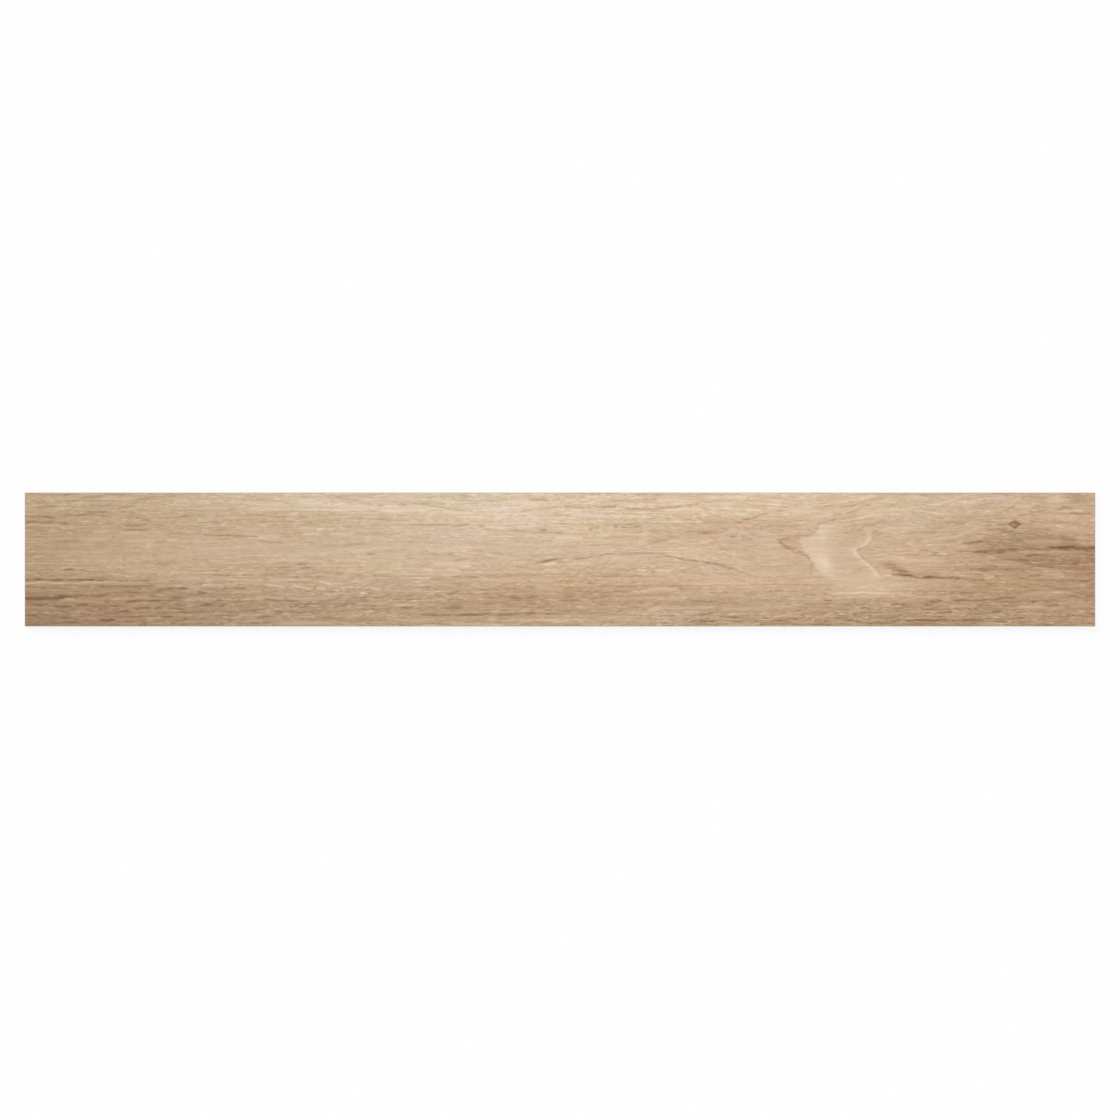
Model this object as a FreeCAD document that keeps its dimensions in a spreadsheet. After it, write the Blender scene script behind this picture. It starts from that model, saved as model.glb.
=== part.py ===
"""Wood look porcelain plank tile: one pressed, fired and rectified solid, in millimetres.

The plank lies flat with its decorated face up. The origin is the centre of the back's bearing
plane, +X runs along the length, +Y across the width and +Z out of the face.

Three things shape the solid:
  the slab       the pressed body, its four edges ground square to the exact format
  the arris      the fine 45 degree bevel that is ground round the face, so that it doesn't chip
  the keyed back a waffle of shallow drafted recesses, left by the press, that the adhesive grips;
                 the plank bears on the ribs between them and on the plain margin round them
"""

import FreeCAD, Part
import math
import os
import Sketcher

# Driving dimensions: millimetres, and degrees for the draft
SIZES = {
    "plank_length": 1200.0,
    "plank_width": 150.0,
    "plank_thickness": 9.0,
    "face_arris": 0.5,
    "recess_side": 24.4,
    "recess_depth": 0.7,
    "recess_draft": 45.0,
    "rib_width": 4.0,
    "back_margin": 5.0,
}

NODE = "plank_tile"


def same(measured, expected, share=1e-6):
    """Whether two sizes agree, to a millionth of their own size."""
    return math.isclose(measured, expected, rel_tol=share)


def write_sheet(doc):
    """The spreadsheet that holds every driving dimension under its own alias."""
    sheet = doc.addObject("Spreadsheet::Sheet", "Sizes")
    for row, (alias, value) in enumerate(SIZES.items(), start=1):
        sheet.set(f"A{row}", alias)
        sheet.set(f"B{row}", str(value))
        sheet.setAlias(f"B{row}", alias)
    doc.recompute()
    return sheet


def origin_feature(body, role):
    """One of the body's own origin planes or axes, by its role."""
    return next(item for item in body.Origin.OriginFeatures if item.Role == role)


def rectangle_sketch(body, name, length, width, centre_x="0", centre_y="0"):
    """A rectangle on the XY plane with sides along X and Y. Its four sizes are expressions."""
    sketch = body.newObject("Sketcher::SketchObject", name)
    sketch.AttachmentSupport = [(origin_feature(body, "XY_Plane"), "")]
    sketch.MapMode = "FlatFace"
    corners = [FreeCAD.Vector(x, y, 0) for x, y in ((1, 1), (2, 1), (2, 2), (1, 2))]
    for start, end in zip(corners, corners[1:] + corners[:1]):
        sketch.addGeometry(Part.LineSegment(start, end), False)
    for side in range(4):
        sketch.addConstraint(Sketcher.Constraint("Coincident", side, 2, (side + 1) % 4, 1))
    for side, direction in enumerate(("Horizontal", "Vertical", "Horizontal", "Vertical")):
        sketch.addConstraint(Sketcher.Constraint(direction, side))
    dimensions = {
        "length": (Sketcher.Constraint("DistanceX", 0, 1, 0, 2, 1.0), length),
        "width": (Sketcher.Constraint("DistanceY", 1, 1, 1, 2, 1.0), width),
        "left": (Sketcher.Constraint("DistanceX", 0, 1, 1.0), f"({centre_x}) - ({length}) / 2"),
        "front": (Sketcher.Constraint("DistanceY", 0, 1, 1.0), f"({centre_y}) - ({width}) / 2"),
    }
    for label, (constraint, expression) in dimensions.items():
        index = sketch.addConstraint(constraint)
        sketch.renameConstraint(index, label)
        sketch.setExpression(f"Constraints.{label}", expression)
    return sketch


def pressed_slab(doc, body):
    """The body of the plank, its edges ground square to length and width."""
    outline = rectangle_sketch(body, "outline", "Sizes.plank_length", "Sizes.plank_width")
    slab = body.newObject("PartDesign::Pad", "slab")
    slab.Profile = outline
    slab.setExpression("Length", "Sizes.plank_thickness")
    doc.recompute()
    return slab


def ground_arris(doc, body, slab):
    """The fine bevel round the face: every edge that lies in the face's plane."""
    face_height = slab.Shape.BoundBox.ZMax
    rim = [
        f"Edge{number}"
        for number, edge in enumerate(slab.Shape.Edges, start=1)
        if same(edge.BoundBox.ZMin, face_height)
    ]
    arris = body.newObject("PartDesign::Chamfer", "arris")
    arris.Base = (slab, rim)
    arris.setExpression("Size", "Sizes.face_arris")
    doc.recompute()
    return arris


def keyed_back(doc, body):
    """The waffle of recesses: one drafted pocket in the back, repeated along and across the plank.

    As many recesses go each way as the plain margin leaves room for, and the field is centred.
    """
    pitch = "(Sizes.recess_side + Sizes.rib_width)"
    count = {
        way: f"floor((Sizes.{size} - 2 * Sizes.back_margin + Sizes.rib_width) / {pitch})"
        for way, size in (("along", "plank_length"), ("across", "plank_width"))
    }
    span = {way: f"({number} - 1) * {pitch}" for way, number in count.items()}
    mouth = rectangle_sketch(
        body,
        "recess_mouth",
        "Sizes.recess_side",
        "Sizes.recess_side",
        centre_x=f"-{span['along']} / 2",
        centre_y=f"-{span['across']} / 2",
    )

    # The pocket runs up into the body from the bearing plane and narrows by its draft
    recess = body.newObject("PartDesign::Pocket", "recess")
    recess.Profile = mouth
    recess.Reversed = True
    recess.setExpression("Length", "Sizes.recess_depth")
    recess.setExpression("TaperAngle", "-Sizes.recess_draft")
    doc.recompute()

    waffle = body.newObject("PartDesign::LinearPattern", "waffle")
    waffle.Originals = [recess]
    waffle.Direction = (mouth, ["H_Axis"])
    waffle.Direction2 = (mouth, ["V_Axis"])
    waffle.Mode = "Extent"
    waffle.Mode2 = "Extent"
    waffle.setExpression("Length", span["along"])
    waffle.setExpression("Length2", span["across"])
    waffle.setExpression("Occurrences", count["along"])
    waffle.setExpression("Occurrences2", count["across"])
    body.Tip = waffle
    doc.recompute()
    return waffle


def expected_volume(sheet, waffle):
    """The slab less its arris and its recesses, worked out by hand, to test the solid against."""
    length, width, arris = sheet.plank_length, sheet.plank_width, sheet.face_arris
    slab = length * width * sheet.plank_thickness
    arris_cut = arris**2 * (length + width) - 4 / 3 * arris**3
    mouth = sheet.recess_side
    floor = mouth - 2 * sheet.recess_depth * math.tan(math.radians(sheet.recess_draft))
    recess_cut = sheet.recess_depth * (mouth**2 + mouth * floor + floor**2) / 3
    return slab - arris_cut - recess_cut * waffle.Occurrences * waffle.Occurrences2


def check(doc, body, volume):
    """Stops the build if a feature failed, or the solid isn't the one closed body it should be."""
    for item in doc.Objects:
        if "Invalid" in item.State or "Error" in item.State:
            raise RuntimeError(f"{item.Name} failed: {item.State}")
    shape = body.Shape
    if shape.isNull() or not shape.isValid() or len(shape.Solids) != 1:
        raise RuntimeError(f"{body.Label} isn't one valid solid")
    if not same(shape.Volume, volume):
        raise RuntimeError(f"{body.Label} holds {shape.Volume:.1f} mm3, and not {volume:.1f} mm3")


def main():
    doc = FreeCAD.newDocument("plank")
    sheet = write_sheet(doc)
    body = doc.addObject("PartDesign::Body", NODE)
    body.Label = NODE
    slab = pressed_slab(doc, body)
    ground_arris(doc, body, slab)
    waffle = keyed_back(doc, body)
    check(doc, body, expected_volume(sheet, waffle))

    os.makedirs("parts", exist_ok=True)
    body.Shape.exportStep(os.path.join("parts", f"{body.Label}.step"))
    box = body.Shape.BoundBox
    print(f"{body.Label}: {box.XLength:.2f} x {box.YLength:.2f} x {box.ZLength:.2f} mm")
    print(f"recesses: {waffle.Occurrences} along, {waffle.Occurrences2} across")
    print(f"volume {body.Shape.Volume:.1f} mm3, faces {len(body.Shape.Faces)}")


main()
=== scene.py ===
# %% [markdown]
# # A wood look plank tile
# The object is one porcelain plank, 1200 x 150 x 9 mm: a pressed and fired body with a matt oak print on
# its face. Everything here is built round the finished CAD solid, in metres and in its frame: +X runs along
# the plank, +Y across it, and +Z out of its printed face. The CAD box is kept, and is hidden once the plank
# takes its place.

# %% The frame
import math

import bmesh
import bpy
import numpy as np
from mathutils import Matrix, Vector


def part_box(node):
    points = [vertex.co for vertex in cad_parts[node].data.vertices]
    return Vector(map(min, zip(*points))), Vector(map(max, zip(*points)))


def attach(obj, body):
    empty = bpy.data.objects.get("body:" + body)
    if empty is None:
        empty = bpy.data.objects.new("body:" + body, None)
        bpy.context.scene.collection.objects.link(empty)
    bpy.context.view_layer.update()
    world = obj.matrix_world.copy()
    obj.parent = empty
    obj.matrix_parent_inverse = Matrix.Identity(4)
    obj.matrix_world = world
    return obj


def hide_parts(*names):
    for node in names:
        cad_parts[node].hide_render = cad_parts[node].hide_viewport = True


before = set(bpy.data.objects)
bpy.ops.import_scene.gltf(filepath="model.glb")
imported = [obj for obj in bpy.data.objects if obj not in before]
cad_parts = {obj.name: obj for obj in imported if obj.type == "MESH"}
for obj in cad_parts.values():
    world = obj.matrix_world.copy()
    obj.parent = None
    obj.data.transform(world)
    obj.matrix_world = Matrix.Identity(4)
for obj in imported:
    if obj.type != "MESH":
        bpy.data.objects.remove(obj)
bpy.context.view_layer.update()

low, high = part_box("plank_tile")
plank_size = high - low
face_height = high.z
MM = 0.001
print("plank, in mm:", [round(side / MM, 2) for side in plank_size])

# %% [markdown]
# ## The plank's body
# A plank is pressed as a slab, printed and fired, and then its four edges are ground to size, with a fine
# bevel, the arris, round the face. A box would do for that, but the face needs relief, so it starts as a
# grid. Relief in wood is long and thin, and cells of 2.7 by 0.75 mm follow it better than as many square
# ones.

# %% Face
ARRIS = 0.5 * MM
CELLS_ALONG = 450
CELLS_ACROSS = 200
face_length = plank_size.x - 2 * ARRIS
face_width = plank_size.y - 2 * ARRIS

bpy.ops.object.select_all(action="DESELECT")
bpy.ops.mesh.primitive_grid_add(
    x_subdivisions=CELLS_ALONG, y_subdivisions=CELLS_ACROSS, size=1.0, location=(0.0, 0.0, face_height)
)
plank = bpy.context.object
plank.name = "printed_plank"
plank.data.name = "printed_plank"
bpy.ops.transform.resize(value=(face_length, face_width, 1.0))
bpy.ops.object.transform_apply(location=True, rotation=True, scale=True)
print("face:", len(plank.data.polygons), "cells")

# %% [markdown]
# The rim of the grid is pulled down and out to make the arris, and straight down to make the edges. The
# opening that is left underneath is filled. By hand one would do the same, and it gives one closed skin.

# %% Arris and edges
bpy.ops.object.mode_set(mode="EDIT")
bpy.ops.mesh.select_all(action="SELECT")
bpy.ops.mesh.select_mode(type="EDGE")
bpy.ops.mesh.region_to_loop()
bpy.ops.mesh.extrude_region_move(TRANSFORM_OT_translate={"value": (0.0, 0.0, -ARRIS)})
outwards = (plank_size.x / face_length, plank_size.y / face_width, 1.0)
bpy.ops.transform.resize(value=outwards, center_override=(0.0, 0.0, face_height - ARRIS))
bpy.ops.mesh.extrude_region_move(TRANSFORM_OT_translate={"value": (0.0, 0.0, low.z - face_height + ARRIS)})
bpy.ops.mesh.edge_face_add()
bpy.ops.mesh.select_all(action="SELECT")
bpy.ops.mesh.normals_make_consistent(inside=False)
bpy.ops.object.mode_set(mode="OBJECT")
print("slab:", len(plank.data.polygons), "faces")

# %% [markdown]
# ## The keyed back
# The press leaves a waffle of shallow recesses in the back, which the adhesive grips. The plain back is cut
# into squares, one for each recess with half a rib round it. Each square is inset by that half rib, and
# inset again while it is pushed into the body, so that the walls of the recess slope. A boolean cut with
# 210 small blocks would do too, but it is slower and leaves a less tidy mesh.

# %% Choosing faces of the back
RECESS_SIDE = 24.4 * MM
RECESS_DEPTH = 0.7 * MM
RECESS_DRAFT = math.radians(45.0)
RIB = 4.0 * MM
RECESSES_ALONG = 42
RECESSES_ACROSS = 5
PITCH = RECESS_SIDE + RIB
LOOKS_DOWN = -0.99
field_half = Vector((RECESSES_ALONG * PITCH / 2, RECESSES_ACROSS * PITCH / 2))


def select_faces(wanted):
    """In edit mode, selects the faces of the plank that the test picks."""
    bpy.ops.mesh.select_mode(type="FACE")
    bpy.ops.mesh.select_all(action="DESELECT")
    mesh = bmesh.from_edit_mesh(plank.data)
    for face in mesh.faces:
        face.select_set(wanted(face))
    bmesh.update_edit_mesh(plank.data)


def on_back(face):
    """Whether a face lies in the back."""
    return face.normal.z < LOOKS_DOWN


def in_field(face):
    """Whether a face lies in the back's field of recesses."""
    middle = face.calc_center_median()
    return on_back(face) and abs(middle.x) < field_half.x and abs(middle.y) < field_half.y


print("field of recesses, in mm:", [round(2 * half / MM, 1) for half in field_half])

# %% Waffle
SAME_PLACE = 1e-7

bpy.ops.object.mode_set(mode="EDIT")
select_faces(on_back)
bpy.ops.mesh.hide(unselected=True)
for axis, count in ((Vector((1, 0, 0)), RECESSES_ALONG), (Vector((0, 1, 0)), RECESSES_ACROSS)):
    for number in range(count + 1):
        cut = axis * PITCH * (number - count / 2)
        bpy.ops.mesh.select_all(action="SELECT")
        bpy.ops.mesh.bisect(plane_co=cut, plane_no=axis, threshold=SAME_PLACE)
select_faces(in_field)
wall_run = RECESS_DEPTH * math.tan(RECESS_DRAFT)
bpy.ops.mesh.inset(thickness=RIB / 2, use_individual=True)
bpy.ops.mesh.inset(thickness=wall_run, depth=-RECESS_DEPTH, use_individual=True)
bpy.ops.mesh.reveal(select=False)
bpy.ops.object.mode_set(mode="OBJECT")
print("with its waffle:", len(plank.data.polygons), "faces")

# %% [markdown]
# ## The figure of this plank
# No two planks of a print have the same figure. The lists below hold what can be pointed at on this one, in
# millimetres from the plank's middle, x along and y across. They were typed in one by one. Places were read
# off enlarged views of the photo. Amounts were chosen with the help of mean tones and hues, measured in the
# photo and in renders, and trimmed until both agreed. They are in tone, the brightness that a picture
# program shows (0 black, 255 white), added to the ground. First comes how the tone changes across the
# plank, from the dark long edge to the light one, and along it: both ends are browner.

# %% Ground tone
TONE_GROUND = 173.0
TONE_ACROSS = [
    (-75, -24), (-62, -22), (-46, -20), (-33, -13), (-24, -4), (-14, 0), (4, 3), (30, 4), (44, 7), (56, 15),
    (75, 14),
]
TONE_ALONG = [
    (-600, -20), (-540, -15), (-450, -10), (-340, -4), (-240, 4), (-100, 8), (200, 8), (350, 6), (430, -3),
    (530, -14), (600, -17),
]
print("points across:", len(TONE_ACROSS), "along:", len(TONE_ALONG))

# %% [markdown]
# Broad patches of lighter and darker wood come next. Most are long, as the grain is. The small ones are
# single pale or dark spots, most of them in and round the tongue. Each has a centre x and y, half a length,
# half a width, a rise along the length, and a tone.

# %% Tone patches
TONE_PATCHES = [
    (560, -14, 110, 13, 0.0, -10), (560, -55, 110, 26, 0.0, 12), (448, -34, 55, 8, 0.0, -6),
    (345, -34, 58, 14, 0.0, 19), (-10, -38, 130, 12, 0.0, -8), (150, -36, 50, 12, 0.0, 4),
    (-90, 38, 130, 14, -0.05, 7), (200, 33, 95, 12, 0.1, -7), (-430, 2, 140, 26, 0.0, 6),
    (-400, 38, 90, 12, 0.0, -6), (-560, 12, 55, 12, 0.0, -9), (-300, -12, 80, 10, 0.0, -8),
    (-450, -52, 50, 22, 0.0, -5), (20, 12, 200, 10, 0.0, 3), (350, -63, 70, 12, 0.0, -8),
    (-20, 50, 70, 10, -0.05, 7), (-50, -70, 160, 7, 0.0, 6), (-580, -55, 80, 22, 0.0, -8),
    (-545, 62, 90, 15, 0.0, -6), (-470, -30, 40, 10, 0.0, -10), (-230, 58, 90, 8, -0.05, 6),
    (130, -56, 60, 7, 0.0, 6), (570, 45, 40, 14, 0.0, 9), (-450, 66, 70, 9, 0.0, -4),
    (-460, -68, 60, 8, 0.0, -4), (450, -36, 120, 10, 0.0, 3), (450, 40, 40, 10, 0.0, -3),
    (-180, 12, 70, 10, 0.0, 3), (-250, 62, 50, 8, 0.0, 4), (296, -4, 8, 6, -0.8, 11),
    (295, 32, 6, 6, 0.0, 6), (208, 15, 45, 15, 0.0, -6), (-461, 15, 2.5, 4.5, 0.0, 20),
    (556, 67, 10, 7, 0.0, 14), (578, 68, 11, 6, 0.0, -16), (258, 18, 9, 4, -0.4, -8),
    (331, 31, 9, 9, 0.0, -11), (368, -8, 9, 5.5, -0.1, -21), (381, -12.8, 9, 3.0, -0.1, -24),
    (530, -5, 60, 8, 0.0, -4), (402, -37, 7, 6, 0.0, -7), (585, 34, 22, 5, 0.0, 8),
    (-250, -36, 50, 11, 0.0, -4), (-350, -12, 50, 11, 0.0, -3), (-450, 62, 50, 11, 0.0, -3),
    (60, -36, 110, 11, 0.0, 2), (360, -36, 50, 10, 0.0, 2), (350, 4, 10, 8, 0.0, -5),
    (503, 44, 4, 2.5, 0.0, 9), (299, -6, 11, 7, -0.3, 9), (377, -1, 14, 3, -0.08, 10),
    (128, -49, 32, 3.5, 0.0, -6),
]
print("tone patches:", len(TONE_PATCHES))

# %% [markdown]
# Four zones have a clear edge: pale in the tongue and above the arch, and dark, twice, at the right end.
# Each has points of its upper edge, points of its lower edge, the softness of the edges, where along the
# plank it is gone and where it is full, and a tone.

# %% Tone zones
TONE_ZONES = [
    (
        [(266, 21), (272, 25), (284, 28.5), (288, 34), (290, 41), (300, 43), (330, 43)],
        [(266, 21), (270, 14), (274, 6), (279, 1), (283, -6), (287, -13), (293, -19), (301, -25), (330, -36)],
        5.0, (318, 288), 15,
    ),
    (
        [(90, 14), (105, 21), (125, 25), (150, 26), (165, 21), (185, 11), (205, 1), (225, -9)],
        [(90, 10), (108, 8), (139, 0.5), (160, -3), (179, -6), (196, -12), (225, -22)],
        5.0, (85, 125), 6,
    ),
    (
        [(455, 11), (466, 22), (478, 31), (496, 35), (538, 32), (563, 25), (576, 20), (588, 16), (600, 15)],
        [(455, 11), (466, 9), (600, 9)],
        4.0, (450, 485), -19,
    ),
    (
        [(474, 8), (600, 9)],
        [(474, 8), (493, 2), (518, -4), (527, -8), (549, -11), (600, -12)],
        3.0, (470, 500), -17,
    ),
]
print("tone zones:", len(TONE_ZONES))

# %% [markdown]
# The fibres don't show equally everywhere, and the hue isn't the same everywhere either. Strength patches
# change how much the fibres show. Warmth counts steps between red and green, and coolness steps between
# blue and green. Patches are written as before, with their change in place of a tone.

# %% Strength and tints
STRENGTH_PATCHES = [
    (-380, 14, 260, 16, 0.0, -0.45), (-545, 4, 60, 15, 0.0, -0.45), (-500, -38, 110, 14, 0.0, -0.3),
    (-240, -38, 70, 12, 0.0, 0.3), (50, -12, 60, 12, 0.0, 0.3), (50, -62, 60, 12, 0.0, -0.3),
    (60, 58, 260, 22, 0.0, 0.6), (340, -64, 220, 12, 0.0, 0.75), (310, 5, 70, 34, 0.0, -0.4),
    (345, -28, 60, 10, 0.0, -0.35), (-260, -58, 130, 16, 0.0, 0.3), (-170, -38, 70, 14, 0.0, 0.3),
    (210, -65, 120, 10, 0.0, 0.35), (562, 14, 40, 14, 0.0, -0.5), (255, -49, 26, 7, 0.0, -0.4),
]
WARMTH_ALONG = [
    (-600, 1.4), (-590, -1.0), (-150, -1.3), (50, 1.0), (200, 2.6), (330, 1.8), (450, 1.6), (590, 2.4),
    (600, 4.6),
]
WARMTH_ACROSS = [(-75, -0.6), (-40, 0.9), (0, 0.6), (40, -0.3), (75, -1.4)]
WARMTH_PATCHES = [
    (60, -28, 140, 16, 0.0, 1.6), (300, 4, 50, 18, 0.0, 1.0), (-570, -8, 45, 16, 0.0, -1.4),
    (-60, -38, 130, 26, 0.0, 1.8), (290, -50, 120, 22, 0.0, -2.4), (-540, 10, 80, 14, 0.0, 1.8),
    (-80, 66, 150, 12, 0.0, 1.2), (570, 0, 50, 14, 0.0, 1.8), (150, -50, 50, 25, 0.0, -2.2),
    (-550, -12, 50, 12, 0.0, -2.0), (-500, -68, 90, 9, 0.0, 1.6), (-50, 38, 45, 12, 0.0, -1.4),
    (350, -12, 45, 12, 0.0, -1.4), (-455, 3, 40, 9, 0.0, 1.6),
]
COOLNESS_ALONG = [
    (-600, -0.6), (-380, -0.8), (-200, 0.7), (-60, 0.2), (60, -2.0), (300, -2.6), (600, -2.4),
]
COOLNESS_PATCHES = [
    (200, 66, 90, 14, 0.0, -2.2), (460, -30, 80, 14, 0.0, -1.4), (-500, 12, 80, 20, 0.0, -1.2),
    (-60, -42, 130, 28, 0.0, -2.6), (450, 66, 150, 10, 0.0, 2.4), (-120, 14, 60, 12, 0.0, 1.2),
    (-480, -38, 60, 12, 0.0, -2.0), (560, 10, 50, 12, 0.0, -1.8), (30, -14, 60, 12, 0.0, -1.8),
    (-170, -64, 60, 12, 0.0, -2.0), (150, -66, 60, 10, 0.0, 1.8), (460, -66, 50, 10, 0.0, 1.9),
    (297, 2, 12, 14, -0.2, 2.6),
]
print("strength patches:", len(STRENGTH_PATCHES), "tints:", len(WARMTH_PATCHES) + len(COOLNESS_PATCHES))

# %% [markdown]
# ## Single lines
# Between the broad tones run single lines, dark where pores lie open and pale where the wood is dense. They
# could be left to noise, but then it would be another plank, so each is listed one by one: from x and y, to
# x and y, half its thickness, and its tone. The lists go from the left end to the right one, and the fainter
# lines come last.

# %% Lines: left end, light half
STREAKS = [
    (-587, 58.5, -563, 58.5, 1.5, -12), (-540, 68.5, -512, 70.5, 1.2, -14), (-556, 73, -542, 73, 0.9, -14),
    (-512, 73, -486, 73, 0.9, -12), (-478, 67.5, -440, 70, 1.0, -10), (-516, 67.5, -474, 68.5, 1.3, 9),
    (-536, 53, -508, 53, 1.6, -13), (-640, 47.5, -560, 48, 1.5, -25), (-562, 49, -530, 49.5, 1.0, -15),
    (-640, 41, -540, 41.5, 1.5, -22), (-630, 38, -555, 38.5, 1.2, 8), (-491, 38.5, -452, 39, 1.0, -20),
    (-494, 33, -455, 34, 1.1, -14), (-471, 44, -459, 44, 1.2, -18), (-455, 36, -395, 37.5, 1.0, -10),
    (-445, 28.5, -400, 28.5, 0.9, -10), (-446, 46, -410, 49, 1.0, -9), (-495, 29.5, -468, 29.5, 1.5, 9),
    (-536, 22.5, -508, 23, 2.0, 9), (-490, 20.5, -460, 20.5, 1.6, 9), (-455, 19.5, -441, 20.5, 1.0, -11),
    (-585, 21.5, -553, 23, 1.2, 6), (-568, 19.5, -538, 19.5, 1.0, -9), (-450, -5, -426, -3, 2.0, -8),
]
print("lines so far:", len(STREAKS))

# %% Lines: left end, dark half
STREAKS += [
    (-558, -12, -543, -12, 1.0, -28), (-548, -12, -530, -12, 1.0, -13),
    (-578, -17.5, -536, -17.5, 1.0, -11), (-534, -21, -508, -21, 1.5, -10),
    (-650, -23, -496, -23.2, 1.4, -34), (-506, -23, -446, -24, 1.0, -11),
    (-650, -26.6, -550, -26.4, 1.1, 18), (-570, -26.2, -455, -25.8, 1.0, 13),
    (-585, -32, -547, -33, 1.3, -9), (-640, -36.5, -566, -36.5, 1.3, -12),
    (-660, -46, -545, -42.4, 1.9, -26), (-566, -42.4, -506, -40, 1.4, -20),
    (-514, -38.5, -468, -36.5, 1.3, -13), (-594, -51, -578, -51, 1.0, -22),
    (-567, -53, -551, -52.5, 1.1, -18), (-542, -51, -529, -51, 1.1, -24),
    (-512, -47.5, -504, -47.5, 1.2, -28), (-489, -47.5, -464, -47, 1.0, -22),
    (-465, -47.5, -446, -46.5, 1.0, -21), (-440, -44.5, -418, -43, 1.4, -20),
    (-477, -55, -459, -55, 1.0, -23), (-455, -54.5, -446, -54.5, 1.1, -26),
    (-440, -55, -422, -55, 1.1, -24), (-500, -58.8, -481, -57.7, 1.1, -22),
    (-428, -58.8, -402, -58.8, 1.1, -16), (-456, -60, -425, -60.5, 1.0, -14),
    (-446, -64.4, -434, -64.4, 1.1, -20), (-517, -67.8, -497, -68.3, 1.2, -26),
    (-566, -65.5, -536, -67.2, 1.2, -18), (-444, -32, -418, -32, 1.4, -13),
    (-556, -44.3, -543, -45.4, 1.2, 15), (-478, -42, -458, -43, 1.4, 13), (-494, -44, -483, -43, 1.2, 13),
    (-483, -50, -473, -52, 1.0, 13), (-453, -56.6, -422, -56.6, 0.9, 11),
    (-500, -56.6, -487, -55.5, 0.9, 11), (-408, -37.6, -396, -36.5, 1.4, -26),
]
print("lines so far:", len(STREAKS))

# %% Lines: left of the middle, light half
STREAKS += [
    (-400, 27.8, -374, 27.3, 1.0, -20), (-378, 27.3, -336, 24.5, 0.9, -16), (-352, 24, -332, 22.8, 0.9, 13),
    (-337, 25, -325, 23.5, 0.9, 16), (-324, 24, -315, 24, 0.9, 14), (-341, 20, -306, 18.3, 1.0, -13),
    (-372, 51, -358, 52, 1.0, -14), (-355, 50.8, -325, 48.5, 1.0, -14), (-373, 57.5, -362, 57.5, 1.0, -11),
    (-290, 42.4, -268, 43, 1.0, -14), (-273, 43.4, -245, 43.4, 1.0, -7), (-218, 45, -186, 45.7, 1.0, -12),
    (-293, 35, -276, 34.5, 1.0, 13), (-273, 34.5, -264, 35, 1.1, 26), (-341, 67.5, -318, 68.6, 1.0, -11),
    (-254, 69.8, -220, 65.3, 1.0, -15), (-220, 54, -188, 52, 1.0, -9), (-255, 31.8, -248, 34, 1.1, -14),
    (-243, 15, -217, 19.5, 1.6, -9), (-217, 6.5, -207, 7.5, 1.2, -20), (-212, 11, -188, 10.5, 0.9, -13),
    (-212, 12.6, -190, 12.4, 0.9, 9), (-296, 66, -274, 67, 0.9, 12), (-305, -0.7, -286, -1.8, 1.0, 11),
]
print("lines so far:", len(STREAKS))

# %% Lines: left of the middle, dark half
STREAKS += [
    (-316, -8.5, -295, -7.4, 1.1, -13), (-296, -5, -282, -6.3, 1.4, -16),
    (-292, -9.6, -278, -9.6, 1.0, -13), (-390, -18, -368, -17.4, 1.1, -18),
    (-316, -19.7, -257, -19, 0.9, -18), (-361, -23, -332, -23, 1.1, 13),
    (-332, -27.5, -306, -31.4, 1.0, 22), (-302, -29.8, -276, -33.4, 1.2, 22),
    (-272, -23, -256, -27.5, 1.1, 20), (-260, -27.5, -239, -27.5, 0.9, 13), (-274, -32, -261, -34, 1.2, 24),
    (-214, -32, -200, -34, 1.1, 20), (-380, -32, -350, -33, 1.4, -17), (-404, -51.6, -376, -51.4, 1.5, -32),
    (-414, -52, -392, -52, 1.1, -18), (-385, -45.4, -378, -46, 1.1, -26),
    (-380, -50.4, -368, -50.4, 1.0, -18), (-405, -58.8, -385, -58.8, 1.1, -18),
    (-384, -59.4, -362, -58.8, 1.0, -17), (-361, -57.7, -338, -56.6, 1.0, -13),
    (-342, -64.4, -316, -64.4, 1.1, -22), (-336, -46.5, -289, -46, 1.0, -17),
    (-271, -47.6, -250, -46, 1.1, -15), (-220, -51, -205, -51, 1.1, -14),
    (-277, -64.4, -256, -64.4, 1.1, -15), (-282, -69, -256, -68.5, 1.1, -15),
    (-355, -70, -332, -69, 1.0, 11), (-344, -44.3, -332, -45.4, 1.0, 13),
    (-243, -65.5, -224, -63.3, 1.0, 11),
]
print("lines so far:", len(STREAKS))

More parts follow.
